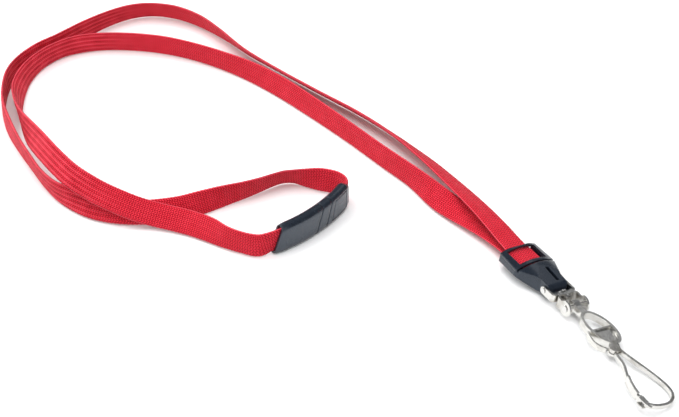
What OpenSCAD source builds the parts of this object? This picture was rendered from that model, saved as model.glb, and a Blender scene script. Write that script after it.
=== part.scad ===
// A flat braided neck lanyard with a curved breakaway, a strap adapter and a swivel hook.
// It lies on its surface at z = 0, with the hook towards +X and -Y.

/* [Strap] */
// Width of the flat braid
strap_w = 9.5; // [8:0.5:9.5]
// Thickness of the flat braid
strap_t = 1.4; // [1:0.1:1.4]

/* [Breakaway] */
// Height of the breakaway, which stands on its long edge
clip_h = 11.6; // [11.6:0.2:13]
// Thickness of the breakaway
clip_t = 4.4; // [4.4:0.1:5]
// Radius of the breakaway's curve, to the middle of its thickness
clip_r = 63.8; // [63:0.1:65]
// Height of the plug's tongue
tongue_h = 8; // [6:0.5:8.4]
// Thickness of the plug's tongue
tongue_t = 2; // [1.6:0.1:2.2]

/* [Adapter] */
// Width of the strap adapter
adapter_w = 16; // [15:0.5:16]
// Thickness of the strap adapter in its middle
adapter_h = 6.8; // [6.8:0.1:7]
// Length of the adapter, from the strap's mouth to the nose pin
adapter_l = 22.2; // [21.6:0.2:23]
// Lean of the adapter and the hook about their own length, in degrees
chain_roll = 10; // [0:1:10]

/* [Swivel] */
// Radius of the nose pin and of the yoke pin
pin_r = 0.85; // [0.7:0.05:0.9]
// Radius of the swivel rivet's shank
rivet_r = 1.2; // [1:0.1:1.3]
// Radius of the yoke's round cheeks
cheek_r = 2.9; // [2.7:0.1:2.9]
// Distance between the outer faces of the yoke's cheeks
yoke_w = 9; // [8.6:0.2:9.6]

/* [Hook] */
// Height of the hook's strip
strip_h = 1.6; // [1.4:0.1:1.8]
// Thickness of the hook's strip
strip_thick = 1; // [0.9:0.1:1.1]
// Height of the hook's oval head
head_h = 2.8; // [2.6:0.1:3]
// Dip of the resting hook below the level, in degrees
hook_dip = 2.2; // [0:0.1:2.2]

/* [Hidden] */
$fn = 48;
eps = 0.01;

// The strap's routes: x, y and z of its middle, and its lean from upright to the left of travel.
// From inside the socket, to the left and round the bend
route_front = [
    [-4.5, -33.6, 5.8, 0], [-9.2, -36.9, 5.8, 0], [-12.6, -38.7, 5.6, -2], [-17, -39.8, 4.9, -12],
    [-23, -38, 4.9, -10], [-29, -35, 4.9, -16], [-35, -30.5, 4.5, -34], [-41, -27, 4.2, -42],
    [-48, -24.3, 4.3, -44], [-55, -22.6, 5, -45], [-62, -21.4, 6.5, -45], [-69, -19.5, 8.4, -44],
    [-76, -16.8, 10.2, -42], [-82, -13.6, 11.8, -40], [-88, -9.6, 13.4, -41], [-93.5, -4, 14.6, -40],
    [-98.5, 2.7, 14.8, -38], [-103, 10, 13.9, -36], [-107.3, 18.2, 11.7, -28], [-111.8, 28, 9.2, -10],
    [-115.6, 38.2, 7.2, 6], [-118, 48, 5.6, 18], [-119, 57.5, 5, 26], [-117.5, 68.5, 4.9, 16],
    [-113, 78.6, 4.9, 4]];
// On to the adapter's lower layer
route_back_inner = [
    [-106.2, 86.2, 4.9, -2], [-98, 90.6, 4.9, 0], [-87, 92.5, 4.9, -2], [-74, 92, 4.9, -1],
    [-61, 89.5, 4.9, 0], [-48, 84.5, 4.9, 0], [-35, 77.5, 4.9, 4], [-23, 69.5, 4.8, 14],
    [-11, 59, 4.8, 19], [3, 44.2, 4.8, 16], [17, 28.4, 4.8, 12], [30, 13, 4.8, 13], [41, 0.4, 4.8, 18],
    [50, -11, 4.2, 44], [56.8, -17.6, 3.1, 70], [63.2, -24, 2.8, 84], [69.3, -30.7, 2.6, 94],
    [74.4, -37.4, 2.6, 99], [77.5, -42.3, 2.7, 100]];
// From inside the plug, round its hairpin
route_plug_tail = [
    [10.9, -17.7, 5.8, 0], [13.2, -13.9, 5.8, 0], [14.9, -10.7, 5.6, -2], [15.4, -8, 5.3, -6],
    [13.9, -5.2, 5.1, -14], [10.6, -3, 5, -20], [6, -1.7, 5, -20], [0.5, -0.6, 4.9, 0],
    [-4.5, 0.3, 4.9, 18], [-8.5, 0, 4.9, 21], [-12.5, -1.9, 4.9, 19], [-18, -5.2, 4.9, 13],
    [-24, -8.3, 4.9, 4]];
// On to the left and up its outer side
route_front_outer = [
    [-30, -11, 4.9, -7], [-38, -14.7, 4.8, -24], [-46, -17.7, 4.3, -40], [-55, -19.6, 4.2, -45],
    [-62, -20.1, 4.1, -45], [-70, -19.6, 4.1, -45], [-78.5, -17.4, 4.2, -40], [-86, -14, 4.7, -26],
    [-94, -8.8, 4.9, -4], [-100.6, -1, 4.9, 4], [-106.6, 8.9, 4.9, 4], [-112.8, 19.8, 4.9, 0],
    [-118.4, 31.1, 4.9, -6], [-122.5, 42, 4.9, -4], [-124.4, 52.5, 4.9, 0], [-124.4, 64.5, 4.9, 4],
    [-121.4, 74.5, 4.9, 5]];
// On to the adapter's upper layer
route_back_outer = [
    [-115, 83.8, 4.9, 7], [-107.3, 91, 4.9, 6], [-98, 101, 4.9, 0], [-88.5, 109.7, 4.9, -9],
    [-79, 115.5, 4.9, -15], [-69, 117.5, 4.8, -19], [-57.5, 114.7, 4.8, -17], [-46.5, 107.4, 4.8, -18],
    [-36.5, 97.2, 4.7, -27], [-25.5, 84.2, 4.5, -38], [-11, 70.3, 4.4, -44], [5, 55.7, 4.4, -44],
    [21, 41.4, 4.4, -42], [35, 26.4, 4.5, -44], [47, 10.4, 5, -54], [58, -7.4, 5.8, -64],
    [65.6, -20.6, 6.3, -70], [71.3, -30.7, 5.9, -76], [75, -37.2, 5.2, -79], [77.8, -42.1, 4.9, -80]];
route_socket_side = concat(route_front, route_back_inner);
route_plug_side = concat(route_plug_tail, route_front_outer, route_back_outer);
bend_at = len(route_front);
tail_end = len(route_plug_tail);
outer_bend_at = tail_end + len(route_front_outer);

// The breakaway: its curve's centre, and headings along it in degrees at the floor
clip_centre = [-42, 18];
socket_from = 28;
socket_to = 44.4;
collar_from = 44.9;
collar_to = 48.9;
plug_from = 49.4;
plug_to = 63;
// How far every cross-cut leans over the clip's height, in degrees of heading
clip_slant = 3.8;
clip_round = 1.9;
seat_gap = 0.1;
tongue_heading = 47;
tongue_back = 9;
tongue_front = 6;
pocket_h = strap_w + 0.8;
pocket_t = strap_t + 0.6;
clamp_t = 0.7;
clamp_half_h = 3.9;
clamp_seat_half_h = 4.2;
tooth_step = 1.2;
socket_pocket_to = 36.6;
socket_clamp_from = 30.4;
socket_clamp_to = 36;
plug_pocket_from = 53.7;
plug_clamp_from = 54.6;
plug_clamp_to = 59.6;
lid_from = 52;
lid_to = 60.2;
lid_half_h = 3.95;
lid_depth = 0.9;

// The chain: the nose pin's place, and the heading from it to the hook
chain_at = [89.4, -61, 3.8];
chain_heading = -58;
layer_z = 1.1;
wall_t = 1.85;
fold_x = -12;
fold_bar_r = 0.35;
dome_r = 20;
flare = 0.6;
cover_t = 0.7;
nose_r = 2.4;
nose_half = 4.3;
groove_from = -7.6;
groove_l = 7;
groove_y = 0.7;
groove_w = 1.4;
groove_depth = 1.1;
cavity_half = adapter_w / 2 - wall_t;
cavity_to = -8.6;
fold_w = 10.4;
cover_to = -11.8;
window_from = -21;
window_to = -13.3;
bail_half = 5.3;
bail_t = 0.8;
bail_h = 3;
bail_from = -2;
bail_x = 5.6;
yoke_x = 5.9;
yoke_t = 0.8;
yoke_h = 4;
arm_h = 3.2;
yoke_pin_x = 11.3;
eye_r = 2.2;
eye_w = 2.4;

// The hook's plan: x from the nose pin, y to the hook's left, turned a little about its eye
hook_turn = -3;
head_mid = [25, 1.2];
head_half = [9, 4.9];
head_turn = 8;
head_wall = 1.1;
gate_at = [35.4, -0.6];
gate_pin_r = 0.6;
ear_r = 2;
ear_t = 1;
route_arm = [[33.4, 2.4], [36.6, 1.3], [43, 2.9], [50.4, 4.9], [57, 5.9], [61.2, 4.8], [63.4, 1.8],
             [63.6, -1.6], [62.6, -4.8], [60.6, -6.8]];
route_gate = [[37.6, -1.5], [43, -2.3], [47.5, -4.3], [51, -5.8], [55, -6.7], [59.4, -7]];
route_spring = [[25.2, -4.3], [28, -5.4], [31.5, -5.4], [34.6, -3.4]];
thumb_from = 48.8;
thumb_to = 56.8;
thumb_h = 3.2;
prong_gap = 0.1;
prong_t = 0.5;

red = "crimson";
black = "dimgray";
steel = "silver";

// Curves ---------------------------------------------------------------------------------------

function unit(v) = v / norm(v);
function travel(route, i) =
    unit([for (k = [0:2]) route[min(i + 1, len(route) - 1)][k] - route[max(i - 1, 0)][k]]);
// A smooth point between the second and third of four, t from 0 to 1
function between(a, b, c, d, t) =
    (2 * b + (c - a) * t + (2 * a - 5 * b + 4 * c - d) * t * t + (3 * b - a - 3 * c + d) * t * t * t) / 2;
function smooth(points, steps) = [
    for (i = [0:len(points) - 2], k = [0:steps - 1])
        between(points[max(i - 1, 0)], points[i], points[i + 1], points[min(i + 2, len(points) - 1)],
                k / steps),
    points[len(points) - 1]];
function edge_side(points, i) =
    let (d = unit(points[min(i + 1, len(points) - 1)] - points[max(i - 1, 0)])) [-d.y, d.x];

// One closed solid through rings of points, each ring in the same order
module skin(rings) {
    count = len(rings[0]);
    last = len(rings) - 1;
    polyhedron(
        points = [for (ring = rings) for (p = ring) p],
        faces = concat(
            [[for (j = [0:count - 1]) j]],
            [[for (j = [count - 1:-1:0]) last * count + j]],
            [for (i = [0:last - 1], j = [0:count - 1])
                let (k = (j + 1) % count, a = i * count, b = a + count)
                for (face = [[a + j, b + j, b + k], [a + j, b + k, a + k]]) face]));
}

// The strap's section: across its width, then through its thickness
function strap_section() =
    let (w = strap_w / 2, t = strap_t / 2, c = t / 2)
    [[-w, -c], [-w + c, -t], [w - c, -t], [w, -c], [w, c], [w - c, t], [-w + c, t], [-w, c]];

function strap_ring(route, i) =
    let (
        t = travel(route, i),
        left = unit(cross([0, 0, 1], t)),
        lean = route[i][3],
        across = cross(t, left) * cos(lean) + left * sin(lean),
        face = cross(t, across),
        middle = [route[i].x, route[i].y, route[i].z])
    [for (p = strap_section()) middle + p.x * across + p.y * face];

// The stretch of a strap between two of its route's points
module strap(route, first, last) {
    color(red) skin([for (i = [first:last]) strap_ring(route, i)]);
}

module strap_front() {
    strap(route_socket_side, 0, bend_at);
}

module strap_back_inner() {
    strap(route_socket_side, bend_at, len(route_socket_side) - 1);
}

module strap_plug_tail() {
    strap(route_plug_side, 0, tail_end);
}

module strap_front_outer() {
    strap(route_plug_side, tail_end, outer_bend_at);
}

module strap_back_outer() {
    strap(route_plug_side, outer_bend_at, len(route_plug_side) - 1);
}

// A flat strip of one width along a smooth route
module strip(points, width, steps = 6) {
    line = smooth(points, steps);
    last = len(line) - 1;
    polygon(concat(
        [for (i = [0:last]) line[i] + edge_side(line, i) * width / 2],
        [for (i = [last:-1:0]) line[i] - edge_side(line, i) * width / 2]));
}

module lying_cylinder(r, length, at_x = 0, at_z = 0) {
    translate([at_x, 0, at_z]) rotate([90, 0, 0]) cylinder(r = r, h = length, center = true);
}

module long_cylinder(r, from_x, to_x) {
    translate([from_x, 0, 0]) rotate([0, 90, 0]) cylinder(r = r, h = to_x - from_x);
}

// Breakaway ------------------------------------------------------------------------------------

function corner_arc(cx, cz, r, from) =
    [for (k = [0:4]) [cx + r * cos(from + k * 22.5), cz + r * sin(from + k * 22.5)]];
function rounded_section(half_t, half_h, r) = concat(
    corner_arc(half_t - r, half_h - r, r, 0), corner_arc(r - half_t, half_h - r, r, 90),
    corner_arc(r - half_t, r - half_h, r, 180), corner_arc(half_t - r, r - half_h, r, 270));

// The cross-cuts lean alike as far as the collar, then stand up again towards the plug's end
function slant_at(heading) = clip_slant * min(1, (plug_to - heading) / (plug_to - collar_to));
function clip_point(heading, out, z) =
    let (h = heading + slant_at(heading) * z / clip_h, r = clip_r + out)
    [clip_centre.x + r * sin(h), clip_centre.y - r * cos(h), z];

// A stretch of the breakaway's curve; each end is cut on the slant and may be a little smaller
module clip_stretch(from, to, half_t, half_h, r, out = 0, small = [1, 1]) {
    steps = max(2, ceil((to - from) / 2.2));
    section = rounded_section(half_t, half_h, r);
    skin([for (i = [steps:-1:0])
        let (s = i == 0 ? small[0] : i == steps ? small[1] : 1)
        [for (p = section) clip_point(from + (to - from) * i / steps, out + p.x * s, clip_h / 2 + p.y * s)]]);
}

module clip_shell(from, to, small = [1, 1]) {
    clip_stretch(from, to, clip_t / 2, clip_h / 2, clip_round, small = small);
}

// The straight path that the plug's tongue takes
module along_tongue() {
    p = clip_point(tongue_heading - clip_slant / 2, 0, clip_h / 2);
    translate(p) rotate([0, 0, tongue_heading]) children();
}

module tongue_space(gap) {
    along_tongue() translate([-tongue_back - gap, -tongue_t / 2 - gap, -tongue_h / 2 - gap])
        cube([tongue_back + tongue_front + gap, tongue_t + 2 * gap, tongue_h + 2 * gap]);
}

// The room beside the strap that a clamp plate lies in
module clamp_seat(from, to) {
    clip_stretch(from, to, (pocket_t + clamp_t) / 2, clamp_seat_half_h, 0.3, out = -clamp_t / 2);
}

module breakaway_socket() {
    color(black) difference() {
        clip_shell(socket_from, socket_to, small = [0.94, 1]);
        clip_stretch(socket_from - 1, socket_pocket_to, pocket_t / 2, pocket_h / 2, 0.3);
        clamp_seat(socket_clamp_from - 0.4, socket_pocket_to);
        clip_stretch(socket_to - 1.6, socket_to + 2, clip_t / 2 - 0.6, clip_h / 2 - 0.7, 0.6);
        tongue_space(seat_gap);
    }
}

module clamp_plate(from, to) {
    out = -(pocket_t + clamp_t) / 2;
    color(steel) clip_stretch(from, to, clamp_t / 2 - 0.05, clamp_half_h, 0.1, out = out);
    teeth = floor((to - from) / tooth_step);
    color(steel) for (i = [0:teeth - 1])
        let (start = from + 0.3 + tooth_step * i)
            clip_stretch(start, start + 0.3, 0.14, clamp_half_h - 0.3, 0.02, out = -strap_t / 2 - 0.26);
}

module socket_clamp() {
    clamp_plate(socket_clamp_from, socket_clamp_to);
}

module socket_collar() {
    color(black) difference() {
        union() {
            clip_shell(collar_from, collar_to);
            clip_stretch(socket_to - 1.4, collar_from + 0.5, clip_t / 2 - 0.7, clip_h / 2 - 0.8, 0.5);
        }
        tongue_space(seat_gap);
    }
}

module breakaway_plug() {
    color(black) difference() {
        union() {
            clip_shell(plug_from, plug_to, small = [1, 0.86]);
            tongue_space(0);
        }
        clip_stretch(plug_pocket_from, plug_to + 1, pocket_t / 2, pocket_h / 2, 0.3);
        clamp_seat(plug_pocket_from + 0.2, plug_clamp_to + 0.4);
        clip_stretch(lid_from - 0.2, lid_to + 0.2, lid_depth / 2, lid_half_h + 0.15, 0.2,
                     out = clip_t / 2 - lid_depth / 2 + 0.1);
    }
}

module plug_lid() {
    color(black)
        clip_stretch(lid_from, lid_to, lid_depth / 2 - 0.1, lid_half_h, 0.2,
                     out = clip_t / 2 - lid_depth / 2 + 0.07);
}

module plug_clamp() {
    clamp_plate(plug_clamp_from, plug_clamp_to);
}

// Adapter --------------------------------------------------------------------------------------

module in_chain() {
    translate(chain_at) rotate([0, 0, chain_heading]) rotate([-chain_roll, 0, 0]) children();
}

// The adapter's outline from above, mouth to nose
module adapter_outline() {
    half = adapter_w / 2;
    intersection() {
        polygon(concat(
            [[-adapter_l, -half], [-12.5, -half - flare], [-10.5, -half], [-6.2, -half * 0.72]],
            [[-3, -nose_half]],
            [[nose_r, -nose_half], [nose_r, nose_half], [-3, nose_half], [-6.2, half * 0.72]],
            [[-10.5, half], [-12.5, half + flare], [-adapter_l, half]]));
        union() {
            translate([-adapter_l, -half - flare]) square([adapter_l - 3, adapter_w + 2 * flare]);
            translate([-adapter_l, 1.6 - nose_half]) square([adapter_l + nose_r, 2 * nose_half - 3.2]);
            for (side = [-1, 1]) translate([nose_r - 1.6, side * (nose_half - 1.6)]) circle(r = 1.6);
            translate([-adapter_l, -nose_half]) square([adapter_l + nose_r - 1.6, 2 * nose_half]);
        }
    }
}

// The adapter's outline from the side
module adapter_profile() {
    half = adapter_h / 2;
    polygon([[-adapter_l, -half + 0.5], [-adapter_l + 0.5, -half], [-9, -half], [0, -nose_r],
             [0, nose_r], [-9, half], [-adapter_l + 0.5, half], [-adapter_l, half - 0.5]]);
    circle(r = nose_r);
}

// The adapter's crowned faces, set in by a gap
module crowned(inset) {
    intersection_for(side = [-1, 1])
        translate([0, 0, side * (dome_r - adapter_h / 2)])
            long_cylinder(dome_r - inset, -adapter_l - 2, nose_r + 1, $fn = 160);
}

module adapter_solid() {
    intersection() {
        linear_extrude(adapter_h + 1, center = true) adapter_outline();
        rotate([90, 0, 0]) linear_extrude(adapter_w + 3, center = true) adapter_profile();
        crowned(0);
    }
}

// The top half's room for the cover
module cover_room(to_x) {
    translate([-adapter_l - 1, -adapter_w, 0]) cube([adapter_l + 1 + to_x, 2 * adapter_w, adapter_h]);
}

module adapter_body() {
    color(black) in_chain() difference() {
        adapter_solid();
        intersection() {
            translate([-adapter_l - 1, -cavity_half, -adapter_h])
                cube([adapter_l + 1 + cavity_to, 2 * cavity_half, 2 * adapter_h]);
            crowned(cover_t + 0.1);
        }
        difference() {
            cover_room(cover_to + 0.8);
            crowned(cover_t + 0.1);
        }
        translate([groove_from, groove_y, nose_r - groove_depth]) cube([groove_l, groove_w, adapter_h]);
        lying_cylinder(pin_r + 0.05, adapter_w);
        lying_cylinder(fold_bar_r + 0.05, adapter_w - 1.6, at_x = fold_x);
    }
}

module adapter_cover() {
    color(black) in_chain() difference() {
        intersection() {
            adapter_solid();
            cover_room(cover_to);
        }
        crowned(cover_t + 0.1);
        translate([window_from, -cavity_half, 0]) cube([window_to - window_from, 2 * cavity_half, adapter_h]);
    }
}

module strap_bar() {
    color(black) in_chain() lying_cylinder(fold_bar_r, adapter_w - 1.8, at_x = fold_x);
}

// The strap inside the adapter, pressed a little wider: in over the bar, round it and out below
module strap_fold() {
    outer = layer_z + strap_t / 2;
    inner = layer_z - strap_t / 2;
    reach = adapter_l + fold_x - 0.2;
    color(red) in_chain() rotate([90, 0, 0]) linear_extrude(fold_w, center = true) {
        for (level = [-outer, inner]) translate([fold_x - reach, level]) square([reach, strap_t]);
        translate([fold_x, 0]) intersection() {
            difference() {
                circle(r = outer);
                circle(r = inner);
            }
            translate([-eps, -outer]) square([outer + eps, 2 * outer]);
        }
    }
}

module pin_with_heads(half, head_r, head_t) {
    lying_cylinder(pin_r, 2 * half);
    for (side = [-1, 1]) translate([0, side * (half - head_t / 2), 0]) lying_cylinder(head_r, head_t);
}

module nose_pin() {
    color(steel) in_chain() pin_with_heads(bail_half + 0.3, 1.1, 0.25);
}

// Swivel ---------------------------------------------------------------------------------------

// A strip bent into a U, seen from above: its legs run back to from_x
module u_outline(from_x, to_x, half, thick, bend) {
    difference() {
        union() {
            translate([from_x, -half]) square([to_x - from_x - bend + eps, 2 * half]);
            translate([from_x, bend - half]) square([to_x - from_x, 2 * (half - bend)]);
            for (side = [-1, 1]) translate([to_x - bend, side * (half - bend)]) circle(r = bend);
        }
        translate([from_x - 1, thick - half]) square([to_x - from_x - bend + 1 + eps, 2 * (half - thick)]);
        translate([from_x - 1, bend - half]) square([to_x - from_x - thick + 1, 2 * (half - bend)]);
        for (side = [-1, 1]) translate([to_x - bend, side * (half - bend)]) circle(r = bend - thick);
    }
}

module bail() {
    color(steel) difference() {
        in_chain() difference() {
            intersection() {
                linear_extrude(bail_h, center = true) u_outline(bail_from, bail_x, bail_half, bail_t, 1.4);
                rotate([90, 0, 0]) linear_extrude(2 * bail_half + 1, center = true) {
                    circle(r = bail_h / 2);
                    translate([0, -bail_h / 2]) square([bail_x + 1, bail_h]);
                }
            }
            lying_cylinder(pin_r + 0.05, 2 * bail_half + 1);
        }
        in_chain() long_cylinder(rivet_r + 0.03, bail_x - 2, bail_x + 1);
    }
}

module swivel_rivet() {
    head_x = bail_x - bail_t - 0.05;
    color(steel) in_chain() {
        long_cylinder(rivet_r, head_x - 0.3, yoke_x + yoke_t + 0.3);
        long_cylinder(2, head_x - 0.75, head_x);
        long_cylinder(2, yoke_x + yoke_t + 0.1, yoke_x + yoke_t + 0.8);
        long_cylinder(1.4, yoke_x + yoke_t + 0.8, yoke_x + yoke_t + 1.2);
    }
}

module yoke() {
    color(steel) in_chain() difference() {
        union() {
            intersection() {
                mirror([1, 0, 0]) linear_extrude(2 * cheek_r, center = true)
                    u_outline(-yoke_pin_x, -yoke_x, yoke_w / 2, yoke_t, 1.8);
                rotate([90, 0, 0]) linear_extrude(yoke_w + 1, center = true)
                    polygon([[yoke_x, -yoke_h / 2], [yoke_x, yoke_h / 2], [yoke_x + 1.8, yoke_h / 2],
                             [yoke_pin_x - 1, arm_h / 2], [yoke_pin_x - 1, -arm_h / 2],
                             [yoke_x + 1.8, -yoke_h / 2]]);
            }
            for (side = [-1, 1]) translate([yoke_pin_x, side * (yoke_w - yoke_t) / 2, 0])
                lying_cylinder(cheek_r, yoke_t);
        }
        long_cylinder(rivet_r + 0.08, yoke_x - 1, yoke_x + yoke_t + 1);
        lying_cylinder(pin_r + 0.05, yoke_w + 1, at_x = yoke_pin_x);
    }
}

module yoke_pin() {
    color(steel) in_chain() translate([yoke_pin_x, 0, 0]) pin_with_heads(yoke_w / 2 + 0.35, 1.3, 0.3);
}

// Hook -----------------------------------------------------------------------------------------

module in_hook() {
    in_chain() translate([yoke_pin_x, 0, 0]) rotate([0, hook_dip, 0])
        translate([-yoke_pin_x, 0, 0]) children();
}

module in_plan() {
    translate([yoke_pin_x, 0, 0]) rotate([0, 0, hook_turn]) translate([-yoke_pin_x, 0, 0]) children();
}

module oval(shrink) {
    translate(head_mid) rotate(head_turn)
        polygon([for (a = [0:6:354]) [(head_half.x - shrink) * cos(a), (head_half.y - shrink) * sin(a)]]);
}

module head_ring() {
    linear_extrude(head_h, center = true) difference() {
        oval(0);
        oval(head_wall);
    }
    translate([0, 0, -0.5]) linear_extrude(0.8) intersection() {
        oval(head_wall / 2);
        translate([25.2, -6]) square([12, 14]);
    }
    linear_extrude(2, center = true) intersection() {
        oval(head_wall / 2);
        translate([24.9, -6]) square([0.7, 14]);
    }
}

module hook_neck() {
    lying_cylinder(eye_r, eye_w, at_x = yoke_pin_x);
    translate([yoke_pin_x, -eye_w / 2, -1.4]) cube([5.6, eye_w, 2.8]);
}

module gate_ears() {
    for (z = [-head_h / 2, head_h / 2 - ear_t]) translate([0, 0, z]) linear_extrude(ear_t) {
        translate(gate_at) circle(r = ear_r);
        strip([[32.8, 0.8], gate_at], 2);
    }
}

module hook_body() {
    color(steel) in_hook() difference() {
        union() {
            hook_neck();
            in_plan() {
                head_ring();
                gate_ears();
                linear_extrude(strip_h, center = true) strip(route_arm, strip_thick);
            }
        }
        lying_cylinder(pin_r + 0.06, eye_w + 1, at_x = yoke_pin_x);
        in_plan() translate([gate_at.x, gate_at.y, 0]) {
            cylinder(r = gate_pin_r + 0.02, h = head_h + 1, center = true);
            cylinder(r = ear_r + 0.15, h = head_h - 2 * ear_t, center = true);
        }
    }
}

module hook_gate() {
    prong_z = strip_h / 2 + prong_gap;
    color(steel) in_hook() in_plan() difference() {
        union() {
            translate([gate_at.x, gate_at.y, 0]) cylinder(r = 1.7, h = 0.7, center = true);
            linear_extrude(0.7, center = true) strip([gate_at, [37.6, -1.4], [38.4, -1.6]], strip_thick);
            linear_extrude(strip_h, center = true) strip(route_gate, strip_thick);
            linear_extrude(thumb_h, center = true) intersection() {
                strip(route_gate, strip_thick);
                translate([thumb_from, -9]) square([thumb_to - thumb_from, 8]);
            }
            linear_extrude(2 * (prong_z + prong_t), center = true) intersection() {
                strip(route_gate, strip_thick);
                translate([57.8, -9]) square([3, 8]);
            }
            for (z = [prong_z, -prong_z - prong_t]) translate([0, 0, z]) linear_extrude(prong_t)
                strip([[58.4, -7], [60, -7.1], [61.4, -6.9]], 1.9);
            translate([0, 0, prong_z]) linear_extrude(prong_t)
                strip([[60.6, -7.2], [62.2, -7.2], [63.8, -6.6]], 0.9);
        }
        translate([gate_at.x, gate_at.y, 0]) cylinder(r = gate_pin_r + 0.06, h = 3, center = true);
    }
}

module gate_pin() {
    color(steel) in_hook() in_plan() translate([gate_at.x, gate_at.y, 0])
        cylinder(r = gate_pin_r, h = head_h, center = true);
}

module gate_spring() {
    color(steel) in_hook() in_plan() linear_extrude(head_h - 0.6, center = true) difference() {
        strip(route_spring, 0.6);
        oval(-0.03);
    }
}

strap_front();
strap_back_inner();
strap_plug_tail();
strap_front_outer();
strap_back_outer();
strap_fold();
breakaway_socket();
socket_clamp();
socket_collar();
breakaway_plug();
plug_lid();
plug_clamp();
adapter_body();
adapter_cover();
strap_bar();
nose_pin();
bail();
swivel_rivet();
yoke();
yoke_pin();
hook_body();
hook_gate();
gate_pin();
gate_spring();
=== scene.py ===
"""A flat braided neck lanyard with a curved breakaway, a strap adapter and a swivel hook.

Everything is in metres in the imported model's own frame: it lies on z = 0, the hook towards +X and -Y.
"""
import math

import bpy
import numpy as np
from mathutils import Matrix, Vector


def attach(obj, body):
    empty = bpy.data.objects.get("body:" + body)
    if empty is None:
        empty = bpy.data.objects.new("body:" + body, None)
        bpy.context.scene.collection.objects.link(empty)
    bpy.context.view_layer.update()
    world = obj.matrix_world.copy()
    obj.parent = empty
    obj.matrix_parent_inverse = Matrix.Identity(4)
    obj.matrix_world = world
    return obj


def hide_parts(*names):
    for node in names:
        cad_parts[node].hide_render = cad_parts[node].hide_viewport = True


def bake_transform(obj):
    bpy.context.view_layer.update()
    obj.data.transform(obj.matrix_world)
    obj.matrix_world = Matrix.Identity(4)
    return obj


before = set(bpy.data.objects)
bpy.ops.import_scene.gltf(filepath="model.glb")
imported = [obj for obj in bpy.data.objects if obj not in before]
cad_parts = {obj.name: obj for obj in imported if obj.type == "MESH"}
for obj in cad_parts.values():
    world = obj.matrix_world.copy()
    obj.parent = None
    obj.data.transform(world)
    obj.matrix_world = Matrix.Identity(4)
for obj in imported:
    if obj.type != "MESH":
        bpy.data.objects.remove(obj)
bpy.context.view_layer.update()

ROOT = "strap_and_adapter"

# The strap ------------------------------------------------------------------------------------------
STRAP_WIDTH = 0.0095
STRAP_THICKNESS = 0.0014
STITCH = 0.001  # one stitch along the strap
COLUMNS = 28  # columns of stitches round the tube that the flat braid is
RING_STEP = 0.0006
SPAN_PARTS = 24  # straight parts of the curve between two points of a route
POINTS_ACROSS = 23  # points of a ring across one face
EDGE_CROWDING = 0.25  # how much those points crowd towards the edges
EDGE_POWER = 5  # higher is a squarer edge to the section
EDGE_WAVER = 0.00006  # how far the half width wavers each way
RIBS = 4.5  # lengthwise ribs across one face
RIB_HEIGHT = 0.00005
RIB_WANDER = ((0.7, 31, 0), (0.4, 77, 1))  # waves that the ribs wander in: size, radians per metre, start
BEND_FROM_TO = (-0.095, -0.065)  # x over which the creases of the left bend fade out

# Routes: x, y and z of the strap's middle, and its lean in degrees from upright to the left of travel.
# From inside the socket, to the left and round the bend
ROUTE_FRONT = [
    (-0.0045, -0.0336, 0.0058, 0), (-0.0092, -0.0369, 0.0058, 0), (-0.0126, -0.0387, 0.0056, -2),
    (-0.017, -0.0398, 0.0049, -12), (-0.023, -0.038, 0.0049, -10), (-0.029, -0.035, 0.0049, -16),
    (-0.035, -0.0305, 0.0045, -34), (-0.041, -0.027, 0.0042, -42), (-0.048, -0.0243, 0.0043, -44),
    (-0.055, -0.0226, 0.005, -45), (-0.062, -0.0214, 0.0065, -45), (-0.069, -0.0195, 0.0084, -44),
    (-0.076, -0.0168, 0.0102, -42), (-0.082, -0.0136, 0.0118, -40), (-0.088, -0.0096, 0.0134, -41),
    (-0.0935, -0.004, 0.0146, -40), (-0.0985, 0.0027, 0.0148, -38), (-0.103, 0.01, 0.0139, -36),
    (-0.1073, 0.0182, 0.0117, -28), (-0.1118, 0.028, 0.0092, -10), (-0.1156, 0.0382, 0.0072, 6),
    (-0.118, 0.048, 0.0056, 18), (-0.119, 0.0575, 0.005, 26), (-0.1175, 0.0685, 0.0049, 16),
    (-0.113, 0.0786, 0.0049, 4),
]
# On to the adapter's lower layer
ROUTE_BACK_INNER = [
    (-0.1062, 0.0862, 0.0049, -2), (-0.098, 0.0906, 0.0049, 0), (-0.087, 0.0925, 0.0049, -2),
    (-0.074, 0.092, 0.0049, -1), (-0.061, 0.0895, 0.0049, 0), (-0.048, 0.0845, 0.0049, 0),
    (-0.035, 0.0775, 0.0049, 4), (-0.023, 0.0695, 0.0048, 14), (-0.011, 0.059, 0.0048, 19),
    (0.003, 0.0442, 0.0048, 16), (0.017, 0.0284, 0.0048, 12), (0.03, 0.013, 0.0048, 13),
    (0.041, 0.0004, 0.0048, 18), (0.05, -0.011, 0.0042, 44), (0.0568, -0.0176, 0.0031, 70),
    (0.0632, -0.024, 0.0028, 84), (0.0693, -0.0307, 0.0026, 94), (0.0744, -0.0374, 0.0026, 99),
    (0.0775, -0.0423, 0.0027, 100),
]
# From inside the plug, round its hairpin
ROUTE_PLUG_TAIL = [
    (0.0109, -0.0177, 0.0058, 0), (0.0132, -0.0139, 0.0058, 0), (0.0149, -0.0107, 0.0056, -2),
    (0.0154, -0.008, 0.0053, -6), (0.0139, -0.0052, 0.0051, -14), (0.0106, -0.003, 0.005, -20),
    (0.006, -0.0017, 0.005, -20), (0.0005, -0.0006, 0.0049, 0), (-0.0045, 0.0003, 0.0049, 18),
    (-0.0085, 0, 0.0049, 21), (-0.0125, -0.0019, 0.0049, 19), (-0.018, -0.0052, 0.0049, 13),
    (-0.024, -0.0083, 0.0049, 4),
]
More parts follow.
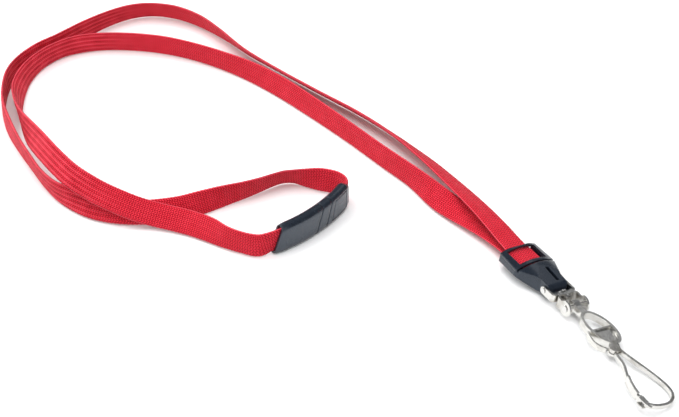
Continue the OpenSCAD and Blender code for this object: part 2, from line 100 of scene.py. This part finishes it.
# On to the left and up its outer side
ROUTE_FRONT_OUTER = [
    (-0.03, -0.011, 0.0049, -7), (-0.038, -0.0147, 0.0048, -24), (-0.046, -0.0177, 0.0043, -40),
    (-0.055, -0.0196, 0.0042, -45), (-0.062, -0.0201, 0.0041, -45), (-0.07, -0.0196, 0.0041, -45),
    (-0.0785, -0.0174, 0.0042, -40), (-0.086, -0.014, 0.0047, -26), (-0.094, -0.0088, 0.0049, -4),
    (-0.1006, -0.001, 0.0049, 4), (-0.1066, 0.0089, 0.0049, 4), (-0.1128, 0.0198, 0.0049, 0),
    (-0.1184, 0.0311, 0.0049, -6), (-0.1225, 0.042, 0.0049, -4), (-0.1244, 0.0525, 0.0049, 0),
    (-0.1244, 0.0645, 0.0049, 4), (-0.1214, 0.0745, 0.0049, 5),
]
# On to the adapter's upper layer
ROUTE_BACK_OUTER = [
    (-0.115, 0.0838, 0.0049, 7), (-0.1073, 0.091, 0.0049, 6), (-0.098, 0.101, 0.0049, 0),
    (-0.0885, 0.1097, 0.0049, -9), (-0.079, 0.1155, 0.0049, -15), (-0.069, 0.1175, 0.0048, -19),
    (-0.0575, 0.1147, 0.0048, -17), (-0.0465, 0.1074, 0.0048, -18), (-0.0365, 0.0972, 0.0047, -27),
    (-0.0255, 0.0842, 0.0045, -38), (-0.011, 0.0703, 0.0044, -44), (0.005, 0.0557, 0.0044, -44),
    (0.021, 0.0414, 0.0044, -42), (0.035, 0.0264, 0.0045, -44), (0.047, 0.0104, 0.005, -54),
    (0.058, -0.0074, 0.0058, -64), (0.0656, -0.0206, 0.0063, -70), (0.0713, -0.0307, 0.0059, -76),
    (0.075, -0.0372, 0.0052, -79), (0.0778, -0.0421, 0.0049, -80),
]

# Where the adapter's nose pin is, and the adapter's heading and lean in degrees
CHAIN_AT = (0.0894, -0.061, 0.0038)
CHAIN_HEADING = -58
CHAIN_LEAN = -10
# The fold in the adapter's own axes: x of its two ends and of the bar, and its radius round the bar
FOLD_MOUTH = -0.022
FOLD_BAR = -0.012
FOLD_RADIUS = 0.0011
FOLD_WIDTH = 0.0104
FOLD_TURN_STEPS = 12


def unit(rows):
    return rows / np.linalg.norm(rows, axis=1)[:, None]


def curve_through(points, step):
    """Even steps along a Catmull-Rom curve through the points: distances along it, and the rows there."""
    rows = np.array(points, float)
    padded = np.vstack([2 * rows[0] - rows[1], rows, 2 * rows[-1] - rows[-2]])
    fine = []
    for a, b, c, d in zip(padded, padded[1:], padded[2:], padded[3:]):
        for t in np.arange(SPAN_PARTS) / SPAN_PARTS:
            bend = (2 * a - 5 * b + 4 * c - d) * t * t + (3 * b - a - 3 * c + d) * t ** 3
            fine.append((2 * b + (c - a) * t + bend) / 2)
    fine = np.array(fine + [rows[-1]])
    along = np.concatenate([[0], np.cumsum(np.linalg.norm(np.diff(fine[:, :3], axis=0), axis=1))])
    even = np.linspace(0, along[-1], int(along[-1] / step) + 1)
    return even, np.column_stack([np.interp(even, along, fine[:, k]) for k in range(rows.shape[1])])


def strap_frames(rows):
    """The strap's middle, the way across it and the way out of its face, at each row of a route."""
    middle = rows[:, :3]
    travel = unit(np.gradient(middle, axis=0))
    left = unit(np.cross([0, 0, 1], travel))
    lean = np.radians(rows[:, 3])[:, None]
    across = np.cross(travel, left) * np.cos(lean) + left * np.sin(lean)
    return middle, across, np.cross(travel, across)


def strap_outline():
    """Half the braid's section: places across it from -1 to 1, and its thickness there from 0 to 1."""
    even = np.linspace(-1, 1, POINTS_ACROSS)
    place = (1 - EDGE_CROWDING) * even + EDGE_CROWDING * np.sin(even * math.pi / 2)
    return place, np.sqrt(np.clip(1 - np.abs(place) ** EDGE_POWER, 0, 1))


def strap_ring(middle, across, face, u, width):
    """The ring of the braid at distance u: its edges waver a little, and its faces have soft ribs."""
    place, thick = strap_outline()
    half_width = width / 2 - EDGE_WAVER + EDGE_WAVER * math.cos(2 * math.pi * u / STITCH)
    wander = sum(size * math.sin(rate * u + start) for size, rate, start in RIB_WANDER)
    ribs = RIB_HEIGHT * np.cos(2 * math.pi * RIBS * place / 2 + wander)
    rise = thick * (STRAP_THICKNESS / 2 - RIB_HEIGHT + ribs)
    x = np.concatenate([place, place[-2:0:-1]]) * half_width
    y = np.concatenate([rise, -rise[-2:0:-1]])
    return middle + np.outer(x, across) + np.outer(y, face)


def around():
    """How far round the section each of its points is, from 0 to 1, with the first point again at the end."""
    place, thick = strap_outline()
    x = np.concatenate([place, place[-2::-1]]) * STRAP_WIDTH / 2
    y = np.concatenate([thick, -thick[-2::-1]]) * STRAP_THICKNESS / 2
    far = np.concatenate([[0], np.cumsum(np.hypot(np.diff(x), np.diff(y)))])
    return far / far[-1]


def braid(name, distances, middle, across, face, material, width=STRAP_WIDTH):
    """A length of braid as one closed mesh, with a UV map that counts stitches along and columns round."""
    rings = np.array([strap_ring(*row, width) for row in zip(middle, across, face, distances)])
    count = rings.shape[1]
    faces = []
    for i in range(len(rings) - 1):
        for j in range(count):
            k = (j + 1) % count
            faces.append((i * count + j, i * count + k, (i + 1) * count + k, (i + 1) * count + j))
    body = len(faces)
    last = (len(rings) - 1) * count
    faces.append(tuple(range(count - 1, -1, -1)))
    faces.append(tuple(last + j for j in range(count)))
    mesh = bpy.data.meshes.new(name)
    mesh.from_pydata(rings.reshape(-1, 3).tolist(), [], faces)
    column = around() * COLUMNS
    stitch = distances / STITCH
    i, j = np.divmod(np.arange(body), count)
    u = np.stack([stitch[i], stitch[i], stitch[i + 1], stitch[i + 1]], 1)
    v = np.stack([column[j], column[j + 1], column[j + 1], column[j]], 1)
    corners = np.zeros((len(mesh.loops), 2), np.float32)
    corners[:body * 4] = np.stack([u, v], 2).reshape(-1, 2)
    mesh.uv_layers.new(name="stitches").data.foreach_set("uv", corners.ravel())
    mesh.polygons.foreach_set("use_smooth", [True] * body + [False, False])
    mesh.materials.append(material)
    piece = bpy.data.objects.new(name, mesh)
    bpy.context.scene.collection.objects.link(piece)
    return piece


def make_socket_side(material):
    distances, rows = curve_through(ROUTE_FRONT + ROUTE_BACK_INNER, RING_STEP)
    middle, across, face = strap_frames(rows)
    piece = braid("braid_socket_side", distances, middle, across, face, material)
    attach(piece, ROOT)
    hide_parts("strap_front", "strap_back_inner")


def make_plug_side(material):
    """One braid in two pieces: the tail behind the plug, and the rest."""
    distances, rows = curve_through(ROUTE_PLUG_TAIL + ROUTE_FRONT_OUTER + ROUTE_BACK_OUTER, RING_STEP)
    middle, across, face = strap_frames(rows)
    tail_end = np.array(ROUTE_FRONT_OUTER[0][:3])
    cut = int(np.argmin(np.linalg.norm(middle - tail_end, axis=1)))
    tail = slice(0, cut + 1)
    rest = slice(cut, None)
    piece = braid("braid_plug_tail", distances[tail], middle[tail], across[tail], face[tail], material)
    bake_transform(piece)
    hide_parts("strap_plug_tail")
    piece = braid("braid_plug_side", distances[rest], middle[rest], across[rest], face[rest], material)
    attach(piece, ROOT)
    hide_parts("strap_front_outer", "strap_back_outer")


def make_fold(material):
    """The band inside the adapter: in at the top layer, round the bar and out at the bottom."""
    steps = int((FOLD_BAR - FOLD_MOUTH) / RING_STEP)
    turn = np.linspace(math.pi / 2, -math.pi / 2, FOLD_TURN_STEPS)
    top = [(x, FOLD_RADIUS) for x in np.linspace(FOLD_MOUTH, FOLD_BAR, steps)[:-1]]
    bend = [(FOLD_BAR + FOLD_RADIUS * math.cos(a), FOLD_RADIUS * math.sin(a)) for a in turn]
    bottom = [(x, -FOLD_RADIUS) for x in np.linspace(FOLD_BAR, FOLD_MOUTH, steps)[1:]]
    place = (Matrix.Translation(CHAIN_AT) @ Matrix.Rotation(math.radians(CHAIN_HEADING), 4, "Z")
             @ Matrix.Rotation(math.radians(CHAIN_LEAN), 4, "X"))
    middle = np.array([place @ Vector((x, 0, z)) for x, z in top + bend + bottom])
    across = np.tile(np.array(place.to_3x3() @ Vector((0, 1, 0))), (len(middle), 1))
    travel = unit(np.gradient(middle, axis=0))
    distances = np.concatenate([[0], np.cumsum(np.linalg.norm(np.diff(middle, axis=0), axis=1))])
    piece = braid("braid_fold", distances, middle, across, np.cross(travel, across), material, FOLD_WIDTH)
    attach(piece, ROOT)
    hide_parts("strap_fold")


# Materials ------------------------------------------------------------------------------------------
# A Mix node has sockets for each kind of data; these are the colours'.
MIX_A = 6
MIX_B = 7
MIX_RESULT = 2
BEVEL_SAMPLES = 6

# The braid's reds: painted shade between its stitches and its own red on them, each as two reds for the
# patches to mix, then its painted highlight and the painted shade along its edges
GAP_SHADE_REDS = ((0.16, 0.000, 0.003, 1), (0.26, 0.001, 0.006, 1))
LIGHT_REDS = ((0.76, 0.009, 0.027, 1), (0.91, 0.036, 0.068, 1))
HIGHLIGHT_PINK = (0.97, 0.14, 0.19, 1)
EDGE_SHADE_RED = (0.20, 0.003, 0.012, 1)
SHEEN_PINK = (1.0, 0.6, 0.64, 1)
STITCH_SLANT = 0.75  # stitches that the yarn advances from one side of its column to the other
YARN_POWER = 0.9  # lower is a flatter stitch, seen along the strap
COLUMN_POWER = 0.6  # and seen across its column
CREASE_COLUMNS = 2.8  # columns from one lengthwise crease to the next
CREASE_UNEVEN = 1.3  # how much the patches break up the valleys of the creases
RIDGE_UNEVEN = 1.2  # and their ridges
PATCH_SCALE = 260.0
FIBRE_SCALE = 5200.0
FIBRE_HEIGHT = 0.22  # where a stitch is 1 high

PLASTIC_DARK = (0.005, 0.008, 0.014, 1)
PLASTIC_PALE = (0.015, 0.021, 0.032, 1)
PLASTIC_TINT = (0.76, 0.86, 1.0, 1)
CLOUD_PALENESS = 0.6
WORN_SMOOTHER = 0.06
DULL_ROUGHER = 0.12
NICKEL_EDGE = 0.0002
FLOOR_GREY = (0.93, 0.93, 0.93, 1)


class Recipe:
    """A material's node tree, with short ways to add nodes to it."""

    def __init__(self, name):
        self.material = bpy.data.materials.new(name)
        self.material.use_nodes = True
        self.tree = self.material.node_tree
        self.shader = self.tree.nodes["Principled BSDF"]

    def add(self, kind, **settings):
        node = self.tree.nodes.new("ShaderNode" + kind)
        for key, value in settings.items():
            setattr(node, key, value)
        return node

    def plug(self, value, socket):
        if isinstance(value, bpy.types.NodeSocket):
            self.tree.links.new(value, socket)
        else:
            socket.default_value = value

    def math(self, operation, *values):
        """A Math node's result; each value is a number or a socket."""
        node = self.add("Math", operation=operation)
        for value, socket in zip(values, node.inputs):
            self.plug(value, socket)
        return node.outputs[0]

    def ramp(self, value, low, high, to_low=0.0, to_high=1.0):
        """A smooth step from to_low, where the value is low, to to_high, where it is high."""
        node = self.add("MapRange", interpolation_type="SMOOTHSTEP")
        for given, socket in zip((value, low, high, to_low, to_high), node.inputs):
            self.plug(given, socket)
        return node.outputs[0]

    def mix(self, factor, a, b):
        node = self.add("Mix", data_type="RGBA")
        self.plug(factor, node.inputs[0])
        self.plug(a, node.inputs[MIX_A])
        self.plug(b, node.inputs[MIX_B])
        return node.outputs[MIX_RESULT]

    def noise(self, scale, detail, place=None):
        node = self.add("TexNoise")
        node.inputs["Scale"].default_value = scale
        node.inputs["Detail"].default_value = detail
        self.plug(place or self.here(), node.inputs["Vector"])
        return node.outputs["Fac"]

    def here(self):
        return self.add("TexCoord").outputs["Object"]

    def stretched(self, scale):
        node = self.add("Mapping")
        self.plug(self.here(), node.inputs["Vector"])
        node.inputs["Scale"].default_value = scale
        return node.outputs["Vector"]

    def bump(self, height, distance, strength, normal=None):
        node = self.add("Bump")
        node.inputs["Distance"].default_value = distance
        node.inputs["Strength"].default_value = strength
        self.plug(height, node.inputs["Height"])
        if normal is not None:
            self.plug(normal, node.inputs["Normal"])
        return node.outputs["Normal"]

    def rounded(self, radius):
        """A normal that makes sharp edges look rounded."""
        node = self.add("Bevel", samples=BEVEL_SAMPLES)
        node.inputs["Radius"].default_value = radius
        return node.outputs["Normal"]

    def set(self, **values):
        """Set the shader's inputs by name, with _ for a space."""
        for key, value in values.items():
            self.plug(value, self.shader.inputs[key.replace("_", " ")])


def stitches(r, along, column):
    """The height of the stitches, 0 between them and 1 at their tops; each column leans the other way."""
    within = r.math("FRACT", column)
    odd = r.math("FLOORED_MODULO", r.math("FLOOR", column), 2.0)
    turned = r.math("SUBTRACT", r.math("MULTIPLY", within, 2.0), 1.0)
    slant = r.math("MULTIPLY_ADD", odd, turned, r.math("SUBTRACT", 1.0, within))
    phase = r.math("FRACT", r.math("MULTIPLY_ADD", slant, STITCH_SLANT, along))
    yarn = r.math("POWER", r.math("SINE", r.math("MULTIPLY", phase, math.pi)), YARN_POWER)
    hump = r.math("POWER", r.math("SINE", r.math("MULTIPLY", within, math.pi)), COLUMN_POWER)
    return r.math("MULTIPLY", yarn, hump)


def braid_material():
    """A flat tubular braid: columns of slanted stitches and creases, with painted shade between the stitches,
    in the creases and along the edges, and painted highlights on the stitches, the creases and just inside
    the edges.
    """
    r = Recipe("red_braid_knit")
    uv = r.add("SeparateXYZ")
    r.plug(r.add("UVMap", uv_map="stitches").outputs[0], uv.inputs[0])
    position = r.add("SeparateXYZ")
    r.plug(r.here(), position.inputs[0])
    column = uv.outputs[1]
    stitch = stitches(r, uv.outputs[0], column)
    patches = r.noise(PATCH_SCALE, detail=3.0)
    fibres = r.noise(FIBRE_SCALE, detail=4.0)

    # Lengthwise creases, with painted shade in their hollows and painted highlights along their tops, strong
    # at the left bend and faint elsewhere
    bent = r.ramp(position.outputs[0], *BEND_FROM_TO, to_low=0.8, to_high=0.06)
    ribs = r.math("SINE", r.math("MULTIPLY", column, 2 * math.pi / CREASE_COLUMNS))
    creases = r.ramp(r.math("ADD", ribs, r.math("MULTIPLY", patches, CREASE_UNEVEN)), -0.7, 0.15)
    # Painted shade in the creases at the bend
    crease_shade = r.math("MULTIPLY", bent, r.ramp(creases, 0.0, 1.0, to_low=0.85, to_high=0.0))
    uneven_ribs = r.math("ADD", ribs, r.math("MULTIPLY", patches, RIDGE_UNEVEN))
    # Painted highlights along the creases at the bend
    ridge_highlights = r.ramp(uneven_ribs, 0.9, 1.7, to_high=0.5)

    # From 0 at the strap's two edges to 1 at the middle of a face
    across = r.math("ABSOLUTE", r.math("SINE", r.math("MULTIPLY", column, 2 * math.pi / COLUMNS)))
    # Painted shade between the stitches, and in the creases at the left bend
    shade = r.math("MULTIPLY", r.ramp(stitch, 0.05, 0.8, to_low=0.12), r.math("SUBTRACT", 1.0, crease_shade))
    body = r.mix(shade, r.mix(patches, *GAP_SHADE_REDS), r.mix(patches, *LIGHT_REDS))
    # Painted highlights on the tops of the stitches and, at the bend, along the creases
    stitch_highlights = r.ramp(stitch, 0.72, 1.0, to_high=0.34)
    painted_highlights = r.math("MAXIMUM", r.math("MULTIPLY", bent, ridge_highlights), stitch_highlights)
    # A painted highlight just inside each edge of the strap
    rim_highlight = r.ramp(across, 0.06, 0.2, to_low=0.5, to_high=0.0)
    face = r.mix(r.math("MAXIMUM", painted_highlights, rim_highlight), body, HIGHLIGHT_PINK)
    # Painted shade along the strap's two edges
    edge_shade = r.ramp(across, 0.0, 0.07, to_low=0.8, to_high=0.0)
    r.set(Base_Color=r.mix(edge_shade, face, EDGE_SHADE_RED))

    r.set(Roughness=r.ramp(fibres, 0.3, 0.7, to_low=0.55, to_high=0.75), Specular_IOR_Level=0.12)
    r.set(Sheen_Weight=0.09, Sheen_Roughness=0.35, Sheen_Tint=SHEEN_PINK)
    creased = r.bump(r.math("MULTIPLY", creases, bent), distance=0.00025, strength=0.7)
    height = r.math("MULTIPLY_ADD", fibres, FIBRE_HEIGHT, stitch)
    r.set(Normal=r.bump(height, distance=0.00022, strength=0.9, normal=creased))
    return r.material


def plastic_material(name, gloss, grain, edge):
    """Satin moulded plastic, a little polished where it has been handled."""
    r = Recipe(name)
    clouds = r.noise(scale=140.0, detail=4.0)
    pits = r.noise(scale=grain, detail=2.0)
    scuffs = r.noise(scale=900.0, detail=5.0, place=r.stretched((1.0, 5.0, 2.0)))
    worn = r.ramp(scuffs, 0.56, 0.72)
    paleness = r.math("MAXIMUM", r.math("MULTIPLY", clouds, CLOUD_PALENESS), worn)
    r.set(Base_Color=r.mix(paleness, PLASTIC_DARK, PLASTIC_PALE))
    satin = r.ramp(clouds, 0.3, 0.7, to_low=0.24, to_high=0.34)
    r.set(Roughness=r.math("SUBTRACT", satin, r.math("MULTIPLY", worn, WORN_SMOOTHER)))
    r.set(Specular_IOR_Level=gloss, Specular_Tint=PLASTIC_TINT)
    r.set(Coat_Weight=0.25, Coat_Roughness=0.14)
    r.set(Normal=r.bump(pits, distance=0.00002, strength=0.6, normal=r.rounded(edge)))
    return r.material


def nickel_material(name, warm, rough):
    """Bright nickel plate over rolled strip: faint drawing marks and slightly dull patches."""
    r = Recipe(name)
    marks = r.noise(scale=700.0, detail=5.0, place=r.stretched((1.0, 1.0, 7.0)))
    patches = r.noise(scale=170.0, detail=3.0)
    clean = (0.70, 0.69, 0.67 - warm, 1)
    dull = (0.46, 0.44, 0.41 - warm, 1)
    r.set(Base_Color=r.mix(r.ramp(patches, 0.5, 0.72), clean, dull), Metallic=1.0)
    uneven = r.math("ADD", marks, patches)
    r.set(Roughness=r.ramp(uneven, 0.8, 1.25, to_low=rough, to_high=rough + DULL_ROUGHER))
    r.set(Normal=r.bump(marks, distance=0.00001, strength=0.5, normal=r.rounded(NICKEL_EDGE)))
    return r.material


def floor_material():
    r = Recipe("pale_floor")
    clouds = r.noise(scale=6.0, detail=3.0)
    r.set(Base_Color=FLOOR_GREY, Roughness=r.ramp(clouds, 0.3, 0.7, to_low=0.55, to_high=0.65))
    r.set(Specular_IOR_Level=0.2)
    return r.material


def paint(material, *nodes):
    for node in nodes:
        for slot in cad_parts[node].material_slots:
            slot.material = material


# Stage ----------------------------------------------------------------------------------------------
LENS_MM = 84.83
SENSOR_MM = 36
CAMERA_AIM = (0.013, -0.013, 0.0)
CAMERA_DISTANCE = 0.60765
CAMERA_DOWN = 40  # degrees below level
NEAREST_SEEN = 0.01

FLOOR_HALF = 3.0
FLOOR_DROP = 0.00002  # keeps the floor just clear of what lies on it
SKY_COLOUR = (0.92, 0.95, 1.0, 1)
SKY_STRENGTH = 0.19
CENTRE = (0, 0, 0)
# Round softboxes: name, place, diameter, watts, what it is aimed at, and whether shiny surfaces mirror it.
# The top one isn't mirrored: it lights matt surfaces, but leaves no glare on the metal.
LIGHTS = [
    ("top_softbox", (0.05, 0.1, 1.1), 1.4, 15, CENTRE, False),
    ("left_back_softbox", (-0.75, 0.5, 0.55), 0.5, 5, CENTRE, True),
    ("left_front_softbox", (-0.8, -0.4, 0.5), 0.5, 3, CENTRE, True),
    ("right_back_softbox", (0.45, 0.95, 0.95), 0.5, 0.6, (0.1, -0.1, 0), True),
    ("front_fill", (0.3, -0.9, 0.7), 0.8, 3, CENTRE, True),
]


def make_camera():
    """The photograph's view: towards +Y, and CAMERA_DOWN degrees down."""
    data = bpy.data.cameras.new("camera")
    data.lens = LENS_MM
    data.sensor_width = SENSOR_MM
    data.clip_start = NEAREST_SEEN
    camera = bpy.data.objects.new("camera", data)
    down = math.radians(CAMERA_DOWN)
    camera.location = Vector(CAMERA_AIM) + CAMERA_DISTANCE * Vector((0, -math.cos(down), math.sin(down)))
    camera.rotation_euler = (math.pi / 2 - down, 0, 0)
    bpy.context.scene.collection.objects.link(camera)
    bpy.context.scene.camera = camera


def make_light(name, place, size, power, aim, mirrored):
    data = bpy.data.lights.new(name, "AREA")
    data.shape = "DISK"
    data.size = size
    data.energy = power
    light = bpy.data.objects.new(name, data)
    light.location = place
    light.visible_glossy = mirrored
    light.rotation_euler = (Vector(aim) - Vector(place)).to_track_quat("-Z", "Y").to_euler()
    bpy.context.scene.collection.objects.link(light)


def make_floor():
    mesh = bpy.data.meshes.new("floor")
    signs = [(-1, -1), (1, -1), (1, 1), (-1, 1)]
    corners = [(x * FLOOR_HALF, y * FLOOR_HALF, 0) for x, y in signs]
    mesh.from_pydata(corners, [], [(0, 1, 2, 3)])
    mesh.materials.append(floor_material())
    floor = bpy.data.objects.new("floor", mesh)
    floor.location.z = -FLOOR_DROP
    bpy.context.scene.collection.objects.link(floor)


def make_sky():
    """A faint even light from all round."""
    world = bpy.data.worlds.new("studio")
    world.use_nodes = True
    background = world.node_tree.nodes["Background"]
    background.inputs["Color"].default_value = SKY_COLOUR
    background.inputs["Strength"].default_value = SKY_STRENGTH
    bpy.context.scene.world = world


make_camera()
braid_look = braid_material()
make_socket_side(braid_look)
make_plug_side(braid_look)
make_fold(braid_look)
paint(plastic_material("breakaway_plastic", gloss=0.85, grain=3800.0, edge=0.0012),
      "breakaway_socket", "breakaway_plug", "socket_collar", "plug_lid")
paint(plastic_material("adapter_plastic", gloss=0.55, grain=3000.0, edge=0.0006),
      "adapter_body", "adapter_cover", "strap_bar")
paint(nickel_material("clamp_nickel", warm=0.02, rough=0.22), "socket_clamp", "plug_clamp", "gate_spring")
paint(nickel_material("pin_nickel", warm=0.0, rough=0.12), "nose_pin", "swivel_rivet", "yoke_pin", "gate_pin")
paint(nickel_material("strip_nickel", warm=0.01, rough=0.14), "bail", "yoke", "hook_body", "hook_gate")
make_floor()
make_sky()
for light in LIGHTS:
    make_light(*light)
bpy.context.scene.view_settings.view_transform = "Standard"
